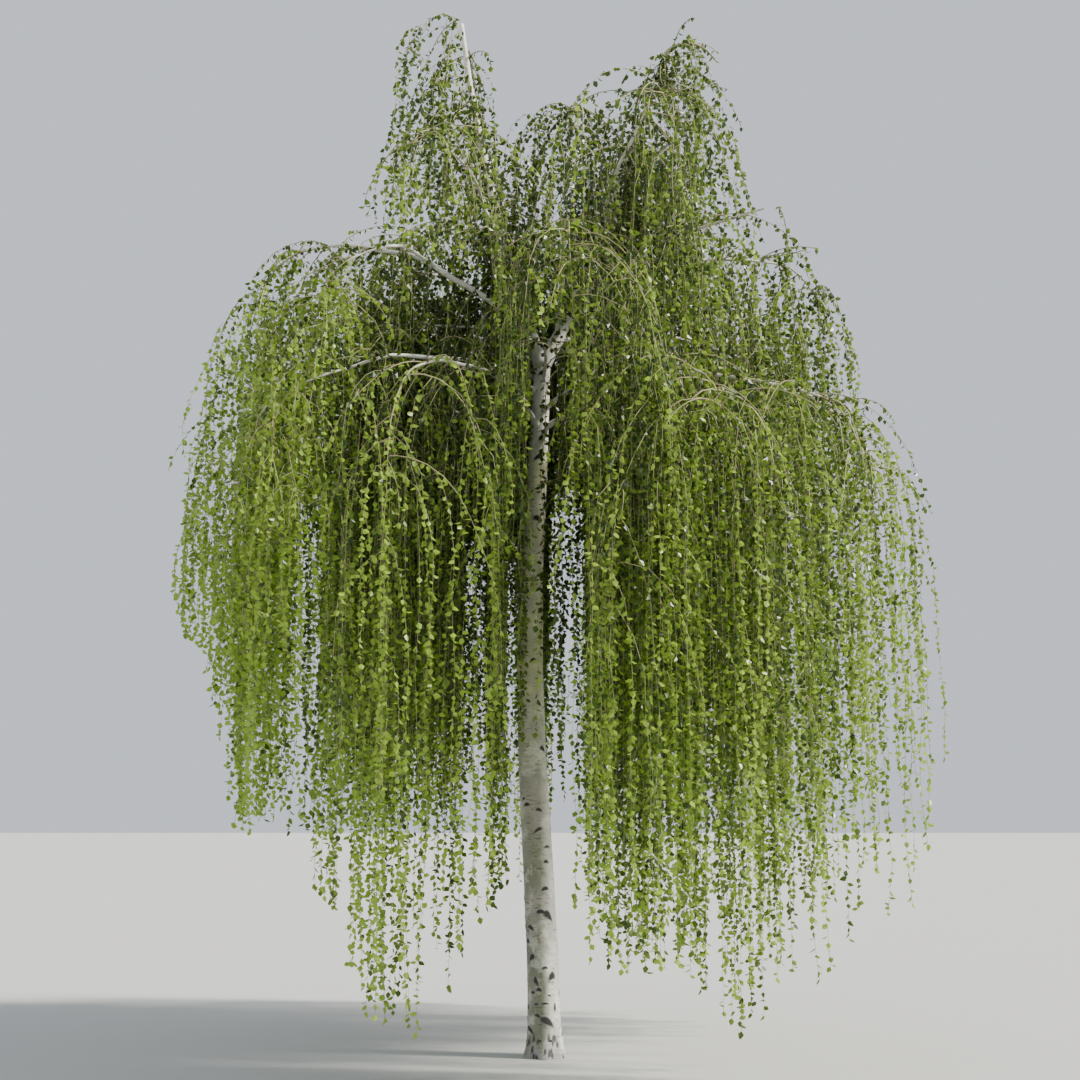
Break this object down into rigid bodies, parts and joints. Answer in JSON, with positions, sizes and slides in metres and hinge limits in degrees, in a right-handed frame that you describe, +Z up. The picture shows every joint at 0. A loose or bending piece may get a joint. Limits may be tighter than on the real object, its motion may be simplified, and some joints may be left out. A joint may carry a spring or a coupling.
{
  "type": "weeping silver birch tree",
  "caption": "Young weeping silver birch in full leaf: a flared white trunk that forks high, arching boughs and long curtains of hanging twigs.",
  "frame": {"origin": "middle of the flat cut under the trunk, at ground level", "axes": "+Z up, +X to the right of the picture, +Y away from the picture's camera"},
  "size_m": [5.1008, 4.8361, 6.4852],
  "materials": {
    "trunk_bark": "matt chalky white bark with fine level lines, black diamond marks and a rough dark foot",
    "bough_bark": "smooth pale cream to grey-brown bark",
    "foliage": "satin green leaves, from yellow-green to dark green, on thin olive-brown twigs"
  },
  "bodies": {
    "root": {"trunk": "trunk_bark", "leader_left": "trunk_bark", "leader_right": "trunk_bark", "bough_dome_left": "bough_bark", "bough_dome_right": "bough_bark", "bough_dome_back": "bough_bark", "bough_dome_front": "bough_bark", "bough_spire_front": "bough_bark", "bough_spire_back": "bough_bark", "bough_left_high": "bough_bark", "bough_left_mid": "bough_bark", "bough_left_back_high": "bough_bark", "bough_right_high": "bough_bark", "bough_right_front_high": "bough_bark", "bough_right_back_high": "bough_bark", "bough_back_high": "bough_bark", "bough_front_high": "bough_bark", "bough_left_reach": "bough_bark", "bough_left_front": "bough_bark", "bough_left_back": "bough_bark", "bough_back": "bough_bark", "bough_right_back": "bough_bark", "bough_right_reach": "bough_bark", "bough_right_front": "bough_bark", "bough_front_right": "bough_bark", "bough_front_left": "bough_bark", "bough_inner_left": "bough_bark", "bough_inner_back": "bough_bark", "bough_inner_right": "bough_bark", "bough_inner_front": "bough_bark", "foliage_leader_left": "foliage", "foliage_leader_right": "foliage", "foliage_dome_left": "foliage", "foliage_dome_right": "foliage", "foliage_dome_back": "foliage", "foliage_dome_front": "foliage", "foliage_spire_front": "foliage", "foliage_spire_back": "foliage", "foliage_left_high": "foliage", "foliage_left_mid": "foliage", "foliage_left_back_high": "foliage", "foliage_right_high": "foliage", "foliage_right_front_high": "foliage", "foliage_right_back_high": "foliage", "foliage_back_high": "foliage", "foliage_front_high": "foliage", "foliage_left_reach": "foliage", "foliage_left_front": "foliage", "foliage_left_back": "foliage", "foliage_back": "foliage", "foliage_right_back": "foliage", "foliage_right_reach": "foliage", "foliage_right_front": "foliage", "foliage_front_right": "foliage", "foliage_front_left": "foliage", "foliage_inner_left": "foliage", "foliage_inner_back": "foliage", "foliage_inner_right": "foliage", "foliage_inner_front": "foliage"}
  },
  "joints": []
}
